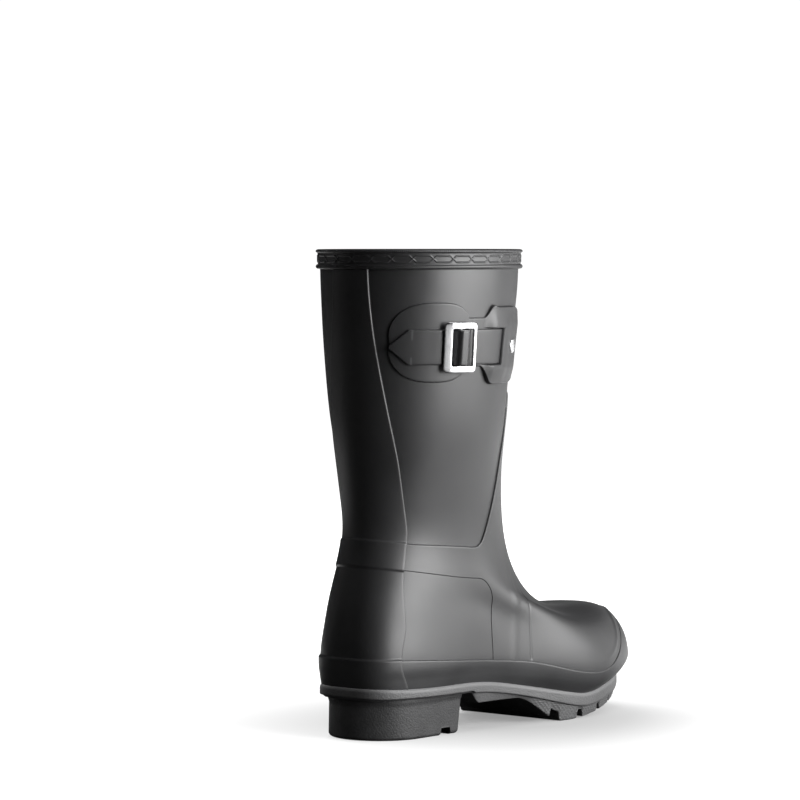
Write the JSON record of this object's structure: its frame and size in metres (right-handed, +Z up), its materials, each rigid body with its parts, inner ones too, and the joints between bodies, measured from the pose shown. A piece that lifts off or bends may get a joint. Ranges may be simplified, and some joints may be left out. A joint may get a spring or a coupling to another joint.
{
  "type": "rubber rain boot",
  "caption": "Short black rubber rain boot for the right foot, with a side strap and slide buckle, textile lining, insole, moulded sole and heel.",
  "frame": {"origin": "on the ground, on the bottom face of the heel block, straight below the axis of the leg", "axes": "+Z up the leg, +X towards the toe, +Y towards the inner (medial) side of the right foot; the buckle is on the -Y side"},
  "size_m": [0.2756, 0.123, 0.3001],
  "materials": {
    "upper_rubber": "matt vulcanised black rubber",
    "sole_rubber": "moulded black rubber with a fine pebbled texture",
    "lining_knit": "grey knitted textile",
    "insole_felt": "grey felted textile on foam",
    "board_fibre": "pressed fibre board",
    "shank_steel": "plain spring steel",
    "buckle_chrome": "polished nickel plate"
  },
  "bodies": {
    "boot": {"leg_upper": "upper_rubber", "foot_upper": "upper_rubber", "vamp_overlay": "upper_rubber", "heel_counter": "upper_rubber", "back_strip": "upper_rubber", "mudguard": "upper_rubber", "toe_puff": "upper_rubber", "top_binding": "upper_rubber", "leg_lining": "lining_knit", "foot_lining": "lining_knit", "outsole": "sole_rubber", "heel_block": "sole_rubber", "midsole": "sole_rubber", "shank": "shank_steel", "insole_board": "board_fibre", "strap_base": "upper_rubber", "strap_keeper": "upper_rubber", "strap": "upper_rubber", "buckle_chape": "upper_rubber", "rivet": "buckle_chrome", "rivet_burr": "buckle_chrome"},
    "buckle": {"buckle_frame": "buckle_chrome", "buckle_pin": "buckle_chrome"},
    "tail": {"strap_tail": "upper_rubber"},
    "insole": {"insole": "insole_felt"}
  },
  "joints": [
    {"name": "buckle_tilt", "type": "hinge", "parent": "boot", "child": "buckle", "pos_m": [-0.02726, -0.05533, 0.24057], "axis": [-0.0284, -0.0823, 0.9962], "range_deg": [-7, 7]},
    {"name": "strap_tail_lift", "type": "hinge", "parent": "boot", "child": "tail", "pos_m": [-0.03893, -0.04756, 0.24079], "axis": [-0.0392, -0.0676, 0.9969], "range_deg": [0, 50]},
    {"name": "insole_lift", "type": "hinge", "parent": "boot", "child": "insole", "pos_m": [0.184, 0, 0.0178], "axis": [0, 1, 0], "range_deg": [0, 10]}
  ]
}
